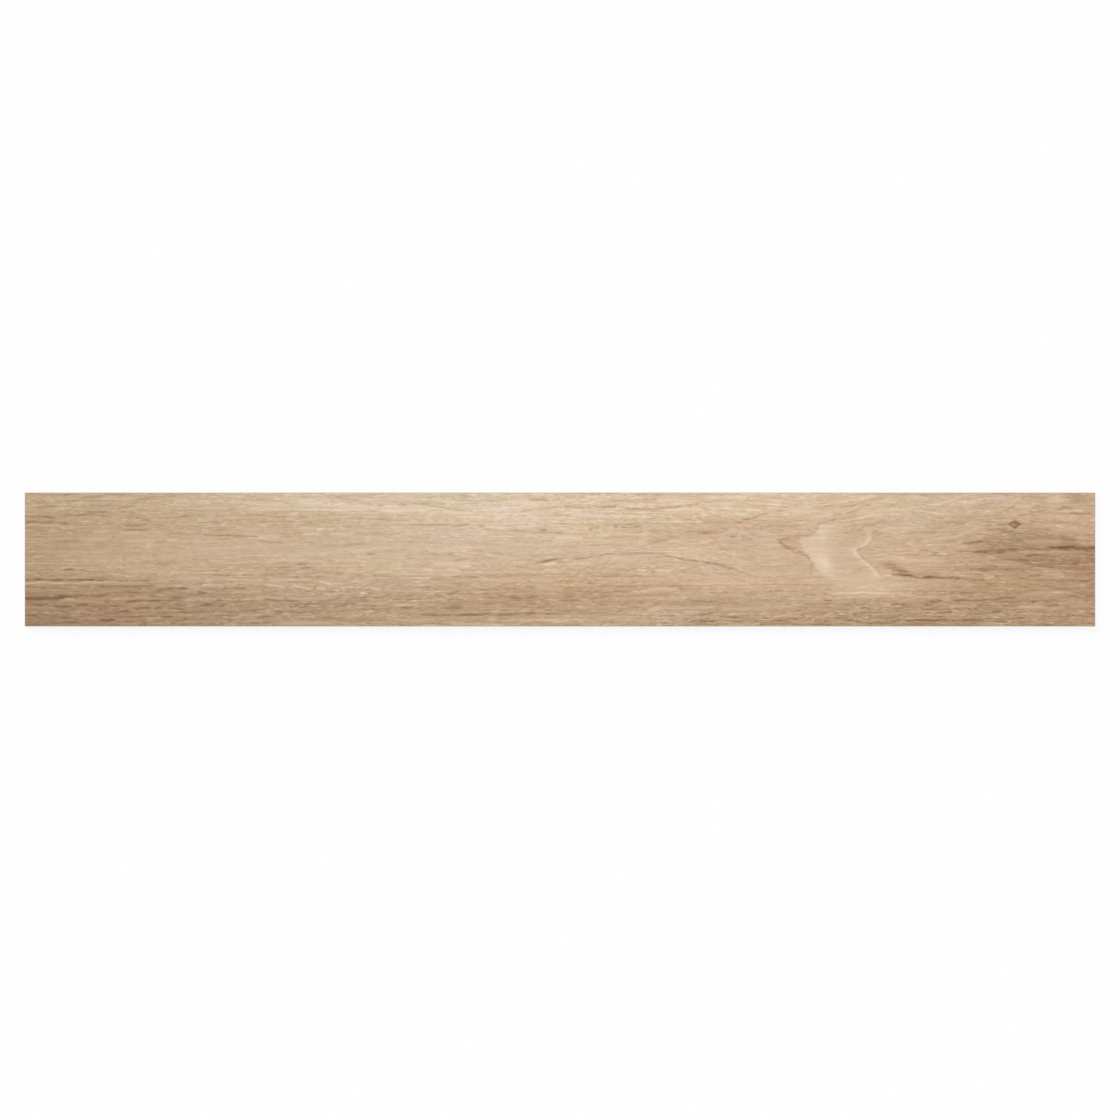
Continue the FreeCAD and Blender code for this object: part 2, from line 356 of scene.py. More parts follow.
# %% Lines: middle, light half
STREAKS += [
    (-204, 54, -144, 55, 1.6, 11), (-80, 65.3, -60, 64.2, 1.0, -9), (-35, 66.4, -11, 66, 1.0, -16),
    (-47, 54, -15, 56.4, 1.0, -12), (-18, 56.4, 2, 58.6, 1.0, -13), (-170, 38.7, -120, 39, 0.9, -15),
    (-122, 37.3, -101, 38, 0.9, -18), (-91, 37.3, -83, 36.2, 1.2, -26), (-85, 34, -76, 32.3, 1.0, -16),
    (-80, 32.3, -43, 32.3, 0.9, -12), (-52, 33, -32, 31.2, 1.0, -14), (-23, 31.8, -15, 33, 1.4, -24),
    (-18, 30.6, 2, 30.6, 1.0, -13), (-103, 9.4, -85, 9.4, 1.0, -17), (-127, 6, -118, 6.5, 1.1, -16),
    (-122, 7, -99, 2.7, 0.9, 9), (-119, -0.7, -104, 0, 1.0, -12), (-92, 0.4, -71, 1.6, 1.0, -9),
    (-92, 63, -65, 63, 1.1, 9), (-47, 63, -26, 63, 1.1, 9), (2, 58.6, 36, 58.6, 1.0, -23),
    (41, 58.6, 64, 58.6, 1.1, -27), (72, 56.4, 92, 57, 1.0, -21), (89, 57.5, 120, 57.5, 1.0, -23),
    (117, 58, 134, 58.6, 1.2, -23), (130, 58.6, 158, 63.5, 1.1, -20), (146, 64.2, 216, 66, 0.9, -13),
    (56, 66.4, 80, 66.4, 1.0, -13), (59, 36.2, 66, 37.3, 1.4, -24), (66, 36.2, 95, 36.8, 0.9, -24),
    (48, 39.6, 108, 40.7, 0.9, -17), (30, 35, 37, 33, 1.0, -16), (33, 34.5, 44, 35, 0.9, -15),
    (52, 25, 92, 25, 0.9, -10), (105, 39.6, 136, 39.6, 1.0, -9), (96, 19.5, 123, 21.7, 2.4, -13),
    (139, 31.2, 152, 31.2, 1.0, -9), (153, 30.6, 170, 30.6, 1.6, -13), (169, 30.6, 183, 30.6, 1.2, -10),
    (190, 25, 198, 25.6, 1.0, -17), (158, 41.3, 192, 40.7, 1.8, -13), (195, 43, 204, 42.4, 1.1, -17),
]
print("lines so far:", len(STREAKS))

# %% Lines: middle, dark half
STREAKS += [
    (-23, -2.9, 6, 0.4, 1.3, -22), (-20, -5, -3, -5, 1.7, 18), (-18, -12, -4, -12, 1.2, 13),
    (-56, -7.4, -33, -8.5, 1.0, -12), (-155, -10.7, -142, -12.4, 1.1, 18), (-127, -11, -110, -14, 2.0, 11),
    (-110, -8, -100, -7.4, 1.0, 16), (-122, -19.7, -103, -19, 1.0, -20), (-102, -19.7, -91, -19, 1.1, -23),
    (-93, -18.6, -69, -17.4, 1.0, -16), (-69, -27.5, -48, -26.4, 1.0, -11), (-63, -32, -48, -32, 1.0, -12),
    (-40, -31, -27, -31, 1.0, -11), (-128, -38.7, -119, -39.2, 1.3, -20),
    (-134, -38.7, -122, -43.2, 0.9, 13), (-181, -54.3, -155, -54, 1.8, -13),
    (-131, -55, -108, -54.3, 1.8, -16), (-160, -62.7, -76, -62.2, 1.2, -20),
    (-120, -62.6, 14, -61, 1.0, -19), (-72, -61, -55, -61, 1.1, -20), (-54, -60.8, -23, -60, 1.2, -17),
    (-82, -43.2, -75, -43.7, 1.0, -16), (-58, -43.2, -42, -43.2, 1.2, -21),
    (-38, -43.2, -27, -42, 1.2, -14), (-40, -50, -27, -50, 1.1, -18), (-18, -50, -10, -50, 1.0, -18),
    (-26, -54.3, -15, -54.3, 1.0, -16), (-37, -53, -23, -52, 1.0, 10), (-190, -51, -164, -51.5, 1.0, 12),
    (-170, -69, -138, -68, 1.1, 9), (44, -17, 70, -17, 1.4, -11), (32, -19, 92, -18.6, 1.0, -17),
    (86, -12, 97, -12, 1.0, 20), (105, -12, 127, -12, 1.1, 18), (30, -26.4, 43, -27, 1.1, -16),
    (40, -29.7, 92, -30.3, 1.1, -13), (116, -31, 136, -29.7, 1.0, -10), (4, -42, 15, -42, 1.1, -16),
    (-2, -46.5, 24, -46, 1.2, -15), (32, -43.7, 41, -43.2, 1.0, -14), (57, -36.5, 82, -36, 1.1, -16),
    (-2, -57.7, 34, -57.7, 1.0, -13), (144, -47.6, 181, -47, 1.1, -15), (108, -51, 136, -52, 1.1, 12),
    (97, -57.7, 113, -55.5, 1.3, 17), (138, -58.6, 158, -58, 1.1, 15), (156, -55.5, 175, -53.2, 1.1, 16),
    (93, -50.4, 106, -50.4, 1.0, 16), (116, -57.7, 131, -57.7, 1.0, -11), (152, -60.5, 173, -61, 1.1, -20),
    (144, -70, 155, -69, 1.1, -20), (155, -69, 172, -69, 1.3, -27), (178, -64.4, 203, -65.5, 1.2, -20),
    (144, -27.5, 216, -27, 0.9, 13),
]
print("lines so far:", len(STREAKS))

# %% Lines: right of the middle
STREAKS += [
    (202, 43.6, 222, 47.4, 1.2, -22), (218, 46.6, 234, 52.4, 1.2, -22), (209, 54.7, 226, 55.2, 1.0, 16),
    (243, 54.7, 254, 55.2, 1.0, -12), (240, 58, 271, 59.7, 1.0, -9), (228, 37.3, 271, 37.3, 1.4, -10),
    (304, 50.8, 316, 52, 1.3, -13), (344, 66.4, 366, 69.8, 1.1, -13), (313, 58.4, 331, 60.4, 1.1, -15),
    (327, 59, 345, 66, 1.1, -17), (320, 51.5, 337, 56, 1.1, -15), (333, 55, 349, 63, 1.0, -13),
    (337, 38.5, 355, 39.6, 2.0, -12), (351, 33, 361, 27.3, 1.4, -11), (341, 32.6, 351, 32, 1.2, 13),
    (327, -0.7, 341, 0.4, 1.0, -11), (330, -12, 349, -8.5, 1.3, -10), (370, -16.6, 396, -17.8, 1.6, -32),
    (382, -18.8, 420, -20, 1.5, -30), (376, -14.6, 430, -16.4, 3.0, -11),
    (406, -19.6, 452, -21.8, 1.3, -29), (440, -21.6, 480, -23.2, 1.1, -26),
    (298, -37.6, 376, -37.9, 0.9, 17), (362, -19, 373, -18.6, 1.0, 14), (295, -46.5, 305, -47, 1.2, -26),
    (271, -50, 304, -50, 0.9, -15), (335, -54.3, 349, -53.8, 1.1, -22), (383, -51, 389, -51, 1.2, -24),
    (372, -50, 380, -50, 1.0, -16), (222, -72.6, 262, -70.6, 1.4, -18), (232, -68, 268, -67.6, 1.2, -18),
    (282, -69, 306, -69, 1.2, -19), (344, -72, 358, -70, 1.1, -18), (363, -67.8, 383, -69, 1.1, -16),
    (385, -69, 439, -68.3, 1.3, -27), (435, -68.3, 478, -68.3, 1.1, -20), (333, -58.8, 360, -60, 1.1, -5),
    (337, -61, 389, -59.8, 0.9, 11), (236, -64, 271, -63.6, 1.0, 11),
]
print("lines so far:", len(STREAKS))

# %% Lines: right end, light half
STREAKS += [
    (413, 61, 428, 62.5, 1.0, 16), (424, 62, 462, 74, 1.0, 9), (501, 59, 518, 71, 1.1, 12),
    (501, 57.5, 512, 59.7, 1.1, -20), (495, 54, 506, 55.8, 1.0, -12), (514, 68.6, 549, 69.8, 1.1, -13),
    (559, 57.5, 576, 58.6, 1.1, -22), (544, 52, 564, 56.4, 1.0, -12), (532, 54.1, 545, 54.7, 1.0, -16),
    (568, 50.8, 597, 52, 1.1, -20), (477, 33.4, 503, 34.5, 1.4, -14), (489, 38.8, 503, 39.2, 1.2, -11),
    (511, 46, 528, 41, 1.1, 11), (430, 40.7, 456, 40, 1.5, -12), (414, 21.7, 446, 26, 1.4, 10),
    (440, 25, 478, 38, 1.4, 11), (449, 17.8, 476, 20.6, 1.3, -22), (440, 8.6, 480, 8.6, 1.3, -20),
    (464, 8.8, 516, 9.8, 2.0, -26), (500, 10.6, 560, 12.4, 1.2, -15), (543, 13.8, 580, 13, 1.1, -18),
    (544, 12.8, 690, 12, 2.1, -31), (560, 10.4, 720, 10, 1.8, -20), (582, 12, 690, 11.6, 2.2, -12),
    (520, 4, 550, 5.4, 1.3, -19), (558, 26, 580, 22, 2.8, -14), (472, 8, 490, 0, 0.9, 15),
    (487, 1, 519, -5.5, 0.9, 12), (552, 9, 584, 9.2, 0.9, 3),
]
print("lines so far:", len(STREAKS))

# %% Lines: right end, dark half
STREAKS += [
    (458, -10.7, 478, -10.2, 1.1, -14), (478, -8.5, 493, -8.5, 1.2, -16), (491, -18, 551, -17.4, 1.0, -14),
    (547, -23.6, 597, -24.8, 1.1, -20), (514, -31, 549, -29.2, 1.0, -10), (550, -36.4, 577, -37.6, 1.1, 14),
    (546, -33.2, 583, -33, 1.0, -12), (570, -40.7, 579, -40.7, 1.0, -14), (586, -41, 620, -41.2, 1.0, -16),
    (448, -37, 467, -37.4, 1.0, -13), (545, -51.2, 559, -51, 1.1, -14), (537, -16.6, 562, -16.6, 1.0, 12),
    (474, -20.8, 487, -18.6, 1.0, 16), (412, -47, 430, -47, 1.2, -27), (441, -46.5, 456, -46, 1.2, -20),
    (452, -46.5, 495, -44.8, 1.0, -12), (489, -44.3, 512, -43.2, 1.1, -16), (528, -47, 535, -47, 1.2, -24),
    (408, -51, 417, -50.4, 1.1, -22), (483, -57.7, 495, -57.7, 1.1, -24), (505, -65.5, 520, -65, 1.1, -20),
    (514, -53.2, 546, -52, 1.4, 13), (551, -54, 567, -54, 1.1, 12), (449, -52, 457, -52, 1.0, 14),
    (460, -51, 468, -51, 1.0, 14), (522, -61, 542, -62.2, 1.9, 11), (573, -3, 582, -3, 3.0, -10),
]
print("lines so far:", len(STREAKS))

# %% Lines: fainter strokes, left end
STREAKS += [
    (-620, 72.5, -535, 71.5, 1.6, -9), (-610, 58, -580, 58, 1.2, -8), (-590, 51.5, -560, 51, 1.2, -10),
    (-546, 49.5, -505, 49, 1.4, -13), (-548, 35, -512, 35.2, 1.2, -10), (-524, 31, -502, 31, 1.2, 9),
    (-625, 27, -570, 27, 1.3, -9), (-615, 23.4, -576, 23.2, 1.2, 8), (-524, 16, -486, 16, 1.4, -9),
    (-625, 2.5, -588, 3, 1.6, -9), (-592, -1.6, -555, -1.4, 1.5, -10), (-562, -10, -536, -10, 1.3, 9),
    (-520, -56.2, -492, -55.8, 1.2, -14), (-514, -61.5, -476, -61.8, 1.1, -12),
    (-498, -65.6, -466, -65.4, 1.2, -12), (-640, -72, -530, -71.5, 1.8, -14),
    (-560, -72, -490, -72.5, 1.4, -10), (-488, -14, -464, -14, 1.4, 9), (-484, -56.4, -462, -56.6, 1.2, 11),
    (-462, -24, -436, -24.5, 2.0, 9), (-456, -30.4, -420, -30, 1.3, 12), (-428, -21, -402, -21, 1.4, 9),
    (-462, -34.6, -370, -33.6, 1.4, -27), (-444, -41.2, -422, -41, 1.3, -12),
    (-420, -40.6, -398, -41, 1.2, -12), (-612, -54, -566, -54.5, 1.6, 10), (-600, -36, -568, -36, 1.4, 9),
]
print("lines so far:", len(STREAKS))

# %% Lines: fainter strokes, left of the middle
STREAKS += [
    (-425, 49.4, -395, 49, 1.3, -10), (-406, 58, -356, 57.4, 1.2, 9), (-356, 62.5, -306, 61.5, 1.6, 9),
    (-376, 39, -336, 38.8, 1.2, -8), (-330, 37.5, -296, 36.6, 1.6, -9), (-366, 35, -342, 34, 1.4, 9),
    (-390, 31.8, -366, 31.6, 1.3, -12), (-352, 27, -310, 27, 1.5, 8), (-336, -17, -298, -17, 1.5, -11),
    (-366, -29.6, -326, -30, 1.5, -11), (-328, -24, -296, -23.6, 1.6, 10), (-426, -67, -386, -67, 1.4, -11),
    (-366, -50, -324, -50, 1.3, -11), (-344, -42.6, -306, -43, 1.5, 13), (-296, 63, -264, 63, 1.6, 10),
    (-290, 41, -236, 41.6, 1.4, -10), (-206, 43.5, -166, 43, 1.4, -9), (-245, 35.4, -196, 35, 1.4, -9),
    (-290, 28, -266, 28, 1.2, 12), (-260, 29, -230, 28, 1.2, 9), (-206, 9, -166, 10, 1.6, -10),
    (-266, -15.8, -240, -16, 1.5, -14), (-210, -17.6, -186, -17.6, 1.3, -12),
    (-210, -14.4, -186, -14.4, 1.1, 11), (-306, -26, -280, -26, 1.2, -12),
    (-306, -22.8, -276, -22.6, 1.3, 10), (-216, -25.5, -166, -26, 3.0, -8),
    (-206, -39, -150, -40, 1.4, -10), (-306, -44, -256, -44.4, 1.4, 11),
    (-240, -46.4, -216, -46.6, 1.2, -11), (-232, -49.4, -190, -49.6, 1.2, 11),
    (-186, -51.6, -156, -52.4, 1.3, 11), (-306, -60, -270, -60, 1.3, -10),
    (-320, -71.4, -250, -71.4, 2.2, 11), (-256, -68, -186, -68.4, 1.5, -9),
]
print("lines so far:", len(STREAKS))

# %% Lines: fainter strokes, middle
STREAKS += [
    (-186, 62.6, -126, 63, 1.5, -12), (-136, 70, -100, 70.2, 1.5, -15), (-180, 53.6, -156, 53.4, 1.3, -9),
    (-134, 53, -94, 52, 1.8, 8), (-146, 33.4, -104, 32.8, 1.8, -8), (-36, 30.6, 8, 28.6, 1.4, -11),
    (-46, 61, -20, 61, 1.5, 11), (-146, -5.6, -96, -4.6, 2.6, 10), (-80, 7.4, -26, 7, 1.6, -9),
    (-80, -8, -56, -8, 1.3, -12), (-20, -3, 6, -2.4, 1.4, -12), (-146, -21.2, -96, -21.2, 1.4, -14),
    (-84, -19.8, -52, -18.8, 1.4, -14), (-134, -17.8, -104, -18, 1.2, 9), (-124, -36.6, -98, -36, 1.4, -15),
    (-86, -49.2, -56, -48.8, 1.4, -12), (-56, -46.6, -26, -46.4, 1.3, -11),
    (-44, -54.2, -22, -54, 1.3, -14), (-154, -54, -126, -54, 1.4, -9), (-124, -57, -86, -56.6, 1.4, -9),
    (-26, -33, 6, -34, 2.0, 10), (-34, -24, -4, -24, 1.6, 7), (10, 49.2, 52, 49.4, 1.3, 11),
    (114, 55, 164, 56, 1.5, 11), (106, 66, 140, 66.4, 1.4, 9), (136, 71.4, 166, 71.4, 1.4, -11),
    (-8, 23.8, 28, 24.4, 1.8, 12), (-6, 29, 28, 29, 1.2, -7), (26, -9, 54, -8.8, 1.4, -15),
    (4, -12, 30, -11.6, 1.6, -9), (72, -20, 124, -20.4, 1.5, -11), (94, -33.6, 134, -33.6, 1.4, 12),
    (132, -35, 160, -34.6, 1.4, -12), (96, -51.4, 146, -51.6, 1.4, -11), (150, -43, 206, -43.4, 1.6, -9),
    (176, -56, 236, -55, 2.0, 7), (190, -69.4, 224, -69, 1.8, -14), (166, -68.4, 188, -68, 1.4, -10),
]
print("lines so far:", len(STREAKS))

# %% Lines: fainter strokes, right of the middle and right end
STREAKS += [
    (246, -57.6, 276, -57.4, 1.3, -12), (272, -60, 300, -60, 1.2, -9), (280, -33.2, 306, -33, 1.4, -12),
    (190, 60.5, 236, 58.5, 2.4, -9), (232, 54, 252, 55, 1.8, -9), (226, 16.4, 250, 16, 1.6, 10),
    (214, 22, 244, 22, 1.3, 8), (200, -12, 296, -13, 2.0, -8), (330, 32, 358, 31.6, 1.5, -11),
    (336, 27.4, 360, 27, 1.6, -11), (362, 35, 400, 34.4, 1.6, 9), (386, 29, 426, 31, 1.6, -11),
    (362, 19.6, 390, 18, 1.4, -11), (384, -1.4, 436, -1.6, 1.8, 10), (300, -57, 326, -57, 1.3, -11),
    (280, -72.8, 330, -72.6, 1.6, -18), (345, -68, 372, -68, 1.8, 10), (390, -67, 424, -66.6, 1.3, 9),
    (390, -60, 412, -60, 1.2, 10), (504, 59.6, 530, 60, 1.8, 10), (582, 55, 640, 55, 1.4, -16),
    (520, 34.4, 552, 33.6, 1.4, -13), (516, 20.6, 566, 19.6, 2.2, 12), (464, 6, 496, 5.6, 1.8, -13),
    (482, 1.6, 530, -3, 3.0, -11), (466, -12.2, 530, -12.4, 1.6, -16), (570, -13.6, 640, -13.6, 1.6, -14),
    (520, -23, 556, -23, 1.6, -9), (520, -37.8, 566, -38, 1.3, 10), (508, -54.4, 556, -54.4, 1.4, 11),
    (566, -53, 630, -53, 1.6, 10), (452, -62, 480, -62, 1.2, -9),
]
print("lines so far:", len(STREAKS))

# %% Lines: fainter strokes, here and there
STREAKS += [
    (448, 2.6, 480, 2.2, 1.6, -9), (326, -13.6, 354, -13.4, 1.5, -11), (-566, -45.6, -500, -49, 1.5, 11),
    (-434, -31, -404, -31.4, 1.2, 10), (-458, 38.4, -418, 38, 1.2, -11), (-404, 56.6, -360, 55, 1.2, -8),
    (-372, -37.6, -330, -36.4, 1.3, 10), (-172, 9, -146, 9, 1.3, -11), (46, 5.6, 84, 6.6, 1.2, -10),
    (166, -61.2, 190, -61, 1.2, -12), (146, -72.6, 180, -72.6, 1.4, -13), (258, -73, 292, -73, 1.3, -12),
    (326, -72.4, 486, -72.4, 1.4, -11), (560, -18, 640, -18, 2.2, -9), (436, 47.6, 462, 47.4, 1.2, -11),
    (500, -28.6, 532, -28.4, 1.2, -9), (386, -49, 414, -49, 1.2, -9), (206, 67.4, 236, 67.6, 1.2, -10),
    (84, 72.4, 116, 72.4, 1.3, -11), (176, 24, 206, 23.4, 1.3, 9), (246, 24.2, 274, 23.8, 1.2, -9),
    (70, -48.8, 96, -48.6, 1.2, -11), (134, -56.4, 162, -56.4, 1.2, -9), (-56, -55.8, -26, -56, 1.2, -11),
    (-60, -62, -24, -62, 1.2, -9), (-118, -48.6, -78, -48.6, 1.3, -11), (-266, -58.8, -234, -58.6, 1.3, -9),
    (-576, 47.6, -544, 47.6, 1.2, -9), (350, 72.2, 390, 72, 1.3, -11), (404, 73, 446, 72.6, 1.3, -12),
    (98, -54.2, 160, -54.4, 1.2, 9), (362, -4.6, 378, -6.4, 1.2, -13), (364, -8.2, 384, -9.8, 1.3, -15),
    (370, -12, 394, -13.6, 1.2, -16),
]
print("lines so far:", len(STREAKS))

# %% [markdown]
# ## Painting the figure
# The patches and lines are painted on the points of the face, as with a vertex paint brush, and kept as
# attributes, which nodes can read. That is one line of arithmetic for each stroke, where nodes would need
# ten, and the points lie close enough for lines of a millimetre. Nothing in wood runs quite straight, so
# the places are first swung to and fro across the plank, widely for the patches and finely for the lines.

# %% Places of the points
# Reach of each swing, its length along the plank and across it, and where it starts
PATCH_SWINGS = [(1.5, 61, 23, 0), (0.8, 23, 7, 2)]
LINE_SWINGS = [(0.5, 11, 5, 0), (0.35, 4, 3, 1)]

places = np.empty(len(plank.data.vertices) * 3)
plank.data.vertices.foreach_get("co", places)
point_x, point_y = (places.reshape(-1, 3) / MM).T[:2]


def swung(swings):
    """The place of every point across the plank, swung to and fro."""
    place = point_y
    for reach, length, width, start in swings:
        place = place + reach * np.sin(point_x / length + point_y / width + start)
    return place


patch_y = swung(PATCH_SWINGS)
line_y = swung(LINE_SWINGS)
print("points to paint:", len(point_x))

# %% Painted ground
def soft_step(values, start, end):
    """0 up to start, 1 from end on, and smooth between. The end may be the smaller of the two."""
    share = np.clip((values - start) / (end - start), 0.0, 1.0)
    return share * share * (3.0 - 2.0 * share)


def on_line(values, points):
    """The height of a line through points, at each of the values."""
    return np.interp(values, *zip(*points))


def paint_patches(values, patches):
    """Adds soft elliptical patches to the values."""
    for centre_x, centre_y, half_length, half_width, rise, amount in patches:
        run = point_x - centre_x
        off = patch_y - centre_y - rise * run
        values = values + amount * np.exp(-((run / half_length) ** 2) - (off / half_width) ** 2)
    return values


ground = TONE_GROUND + on_line(patch_y, TONE_ACROSS) + on_line(point_x, TONE_ALONG)
ground = paint_patches(ground, TONE_PATCHES)
for upper, lower, softness, (gone, full), tone in TONE_ZONES:
    from_upper = soft_step(on_line(point_x, upper) - patch_y, 0.0, softness)
    from_lower = soft_step(patch_y - on_line(point_x, lower), 0.0, softness)
    ground += tone * from_upper * from_lower * soft_step(point_x, gone, full)
print("mean tone of the ground:", round(ground.mean(), 1))

# %% [markdown]
# A stroke fades and narrows towards both ends, as a fibre does. Round it the other fibres are calmed, so
# that it stands out as it does in the print.

# %% Painted lines
LINE_GAIN = 1.45
ENDS_FADE = 0.12
TIP_SHARE = 0.5
# Where the ink of a line begins and where it is full, in half thicknesses from its middle
INK_BEGINS = 1.7
INK_FULL = 0.2
# How far the calm round a line reaches: in half thicknesses, and in millimetres more
CALM_REACH = 3.0
CALM_MARGIN = 1.5

streaks = np.zeros(len(point_x))
calm = np.zeros(len(point_x))
for x_from, y_from, x_to, y_to, half_thickness, tone in STREAKS:
    share = np.clip((point_x - x_from) / (x_to - x_from), 0.0, 1.0)
    fade = soft_step(share * (1.0 - share), 0.0, ENDS_FADE)
    off = np.abs(line_y - y_from - (y_to - y_from) * share)
    half = half_thickness * (TIP_SHARE + (1.0 - TIP_SHARE) * fade)
    streaks += LINE_GAIN * tone * fade * soft_step(off, INK_BEGINS * half, INK_FULL * half)
    calm = np.maximum(calm, fade * soft_step(off, CALM_REACH * half + CALM_MARGIN, half))
print("share of the points under a line:", round((streaks != 0.0).mean(), 2))

# %% Fibre strength, tints and attributes
# Fibres show more on dark ground than on light ground: tone, strength
STRENGTH_BY_TONE = [(140, 1.4), (195, 0.82)]
STRENGTH_LEAST = 0.15
CALMED_SHARE = 0.6

strength = paint_patches(on_line(ground, STRENGTH_BY_TONE), STRENGTH_PATCHES)
strength = np.maximum(strength, STRENGTH_LEAST) * (1.0 - CALMED_SHARE * calm)
warmth = on_line(point_x, WARMTH_ALONG) + on_line(point_y, WARMTH_ACROSS)
PAINTED = {
    "ground_tone": ground,
    "streak_tone": streaks,
    "fibre_strength": strength,
    "warmth": paint_patches(warmth, WARMTH_PATCHES),
    "coolness": paint_patches(on_line(point_x, COOLNESS_ALONG), COOLNESS_PATCHES),
}
for name, values in PAINTED.items():
    layer = plank.data.attributes.new(name, "FLOAT", "POINT")
    layer.data.foreach_set("value", values.astype(np.float32))
    print(name, "from", round(values.min(), 1), "to", round(values.max(), 1))

# %% [markdown]
# ## Helpers for node trees
# The grain is needed twice: once as ink on the face, and once as shallow relief in the mesh. Both are
# written as nodes, and the same few nodes work in a material and in Geometry Nodes. So each recipe below is
# a function that fills whichever tree it is given, and the relief then lies exactly under the ink. A feed
# is either a socket, which is linked, or a plain value, which is typed into the node.

# %% Node helpers
def add_node(tree, kind, *feeds, **settings):
    """A new node. Each feed goes into the next input: a socket is linked, a value set, None skipped."""
    node = tree.nodes.new(kind)
    for name, value in settings.items():
        setattr(node, name, value)
    for entry, feed in zip(node.inputs, feeds):
        if isinstance(feed, bpy.types.NodeSocket):
            tree.links.new(feed, entry)
        elif feed is not None:
            entry.default_value = feed
    return node


def sum_of(tree, operation, *feeds):
    """One Math node, and its result."""
    return add_node(tree, "ShaderNodeMath", *feeds, operation=operation).outputs[0]


def ease(tree, feed, start, end, low_value=0.0, high_value=1.0):
    """A smooth step: low_value up to start, high_value from end on."""
    limits = (start, end, low_value, high_value)
    return add_node(tree, "ShaderNodeMapRange", feed, *limits, interpolation_type="SMOOTHSTEP").outputs[0]


def curve_of(tree, feed, points):
    """A curve through (place, value) points, from the first place to the last."""
    values = [value for place, value in points]
    first, last, least, most = points[0][0], points[-1][0], min(values), max(values)
    share = add_node(tree, "ShaderNodeMapRange", feed, first, last, 0.0, 1.0).outputs[0]
    node = add_node(tree, "ShaderNodeFloatCurve", 1.0, share)
    line = node.mapping.curves[0]
    for number, (place, value) in enumerate(points):
        spot = ((place - first) / (last - first), (value - least) / (most - least))
        if number in (0, len(points) - 1):
            line.points[min(number, 1)].location = spot
        else:
            line.points.new(*spot)
    node.mapping.update()
    return sum_of(tree, "MULTIPLY_ADD", node.outputs[0], most - least, least)


print("helpers for nodes: add_node, sum_of, ease, curve_of")

# %% [markdown]
# ## Fibres
# Wood is a bundle of long fibres, so its pattern is thin across and long along the plank. A Noise texture
# whose coordinates are divided by a long length and a small thickness gives soft fibres. Pores and hard
# fibres are dashes: a Voronoi texture, stretched the same way, is a pattern of long cells, and each cell's
# random colour gives its dash a tone. Such cells end bluntly, so a very thin noise shifts each fibre along
# and frays them.

# %% Fibre helpers
NOISE_ROUGHNESS = 0.55
NOISE_MIDDLE = 0.5
FRAYED_SHARE = 2.5
FAINTNESS = 3.0


def streaky_noise(tree, along, across, length, thickness, detail, layer):
    """Noise drawn out along the grain, about -0.5 to 0.5. Each layer number is another pattern."""
    run = sum_of(tree, "DIVIDE", along, length)
    height = sum_of(tree, "DIVIDE", across, thickness)
    place = add_node(tree, "ShaderNodeCombineXYZ", run, height, layer).outputs[0]
    noise = add_node(tree, "ShaderNodeTexNoise", place, None, 1.0, detail, NOISE_ROUGHNESS)
    return sum_of(tree, "SUBTRACT", noise.outputs[0], NOISE_MIDDLE)


def add_noise(tree, along, across, total, length, thickness, detail, layer, reach):
    """Adds streaky noise to the total, times its reach."""
    noise = streaky_noise(tree, along, across, length, thickness, detail, layer)
    return sum_of(tree, "MULTIPLY_ADD", noise, reach, total)


def dashes(tree, along, across, length, thickness, layer, fray):
    """Short lines side by side, about -1 to 1: most are faint, and a few stand out. Fray shifts each fibre in
    them along by its own share of their length, so that they end in points."""
    run = sum_of(tree, "MULTIPLY_ADD", fray, FRAYED_SHARE, sum_of(tree, "DIVIDE", along, length))
    height = sum_of(tree, "DIVIDE", across, thickness)
    place = add_node(tree, "ShaderNodeCombineXYZ", run, height, layer).outputs[0]
    cells = add_node(tree, "ShaderNodeTexVoronoi", place, None, 1.0)
    chance = add_node(tree, "ShaderNodeSeparateXYZ", cells.outputs["Color"]).outputs[0]
    chance = sum_of(tree, "MULTIPLY_ADD", chance, 2.0, -1.0)
    return sum_of(tree, "POWER", chance, FAINTNESS)


print("helpers for fibres: streaky_noise, add_noise, dashes")

# %% [markdown]
# ## Bent lines and the knot
# Where the saw cuts through the growth rings at a slant, the lines bend: a low arch in the middle of the
# plank, a tongue with its tip to the left, and a pale flame beside it. They are drawn through a few points
# each, with half a thickness and a tone. A steep line is drawn the other way round, with y first, because a
# curve can only have one value at each place.

# %% Lying lines
LYING_LINES = {
    "low arch": (
        [
            (-55, -10.5), (-25, -3), (-3, -0.5), (22, 1.5), (45, 4), (62, 6.2), (100, 6.8), (117, 5),
            (139, 0.2), (160, -3), (179, -6), (196, -12), (217, -18.5), (229, -22),
        ],
        1.3, -20,
    ),
    "waves near the light edge": ([(-159, 62.5), (-143, 61), (-129, 58), (-118, 56), (-101, 54)], 1.2, -15),
    "waves to their left": ([(-251, 67.5), (-235, 64), (-215, 62.5), (-197, 60)], 1.1, -12),
    "tongue, lower side": (
        [
            (242.5, 23.5), (247.5, 19.6), (251.5, 15.8), (257.5, 12), (265.5, 9), (272.5, 6.6), (277.5, 2.8),
            (281.5, -2.2), (284, -8),
        ],
        2.4, -26,
    ),
    "tongue, upper side": (
        [(240, 17), (247.5, 20.5), (255, 23.5), (268, 26.5), (279, 27.8), (286, 31)], 2.3, -10,
    ),
    "tongue, far end": ([(288, 41), (297, 42.6), (305, 43.4), (312, 48)], 2.2, -10),
}
print("lying lines:", len(LYING_LINES))

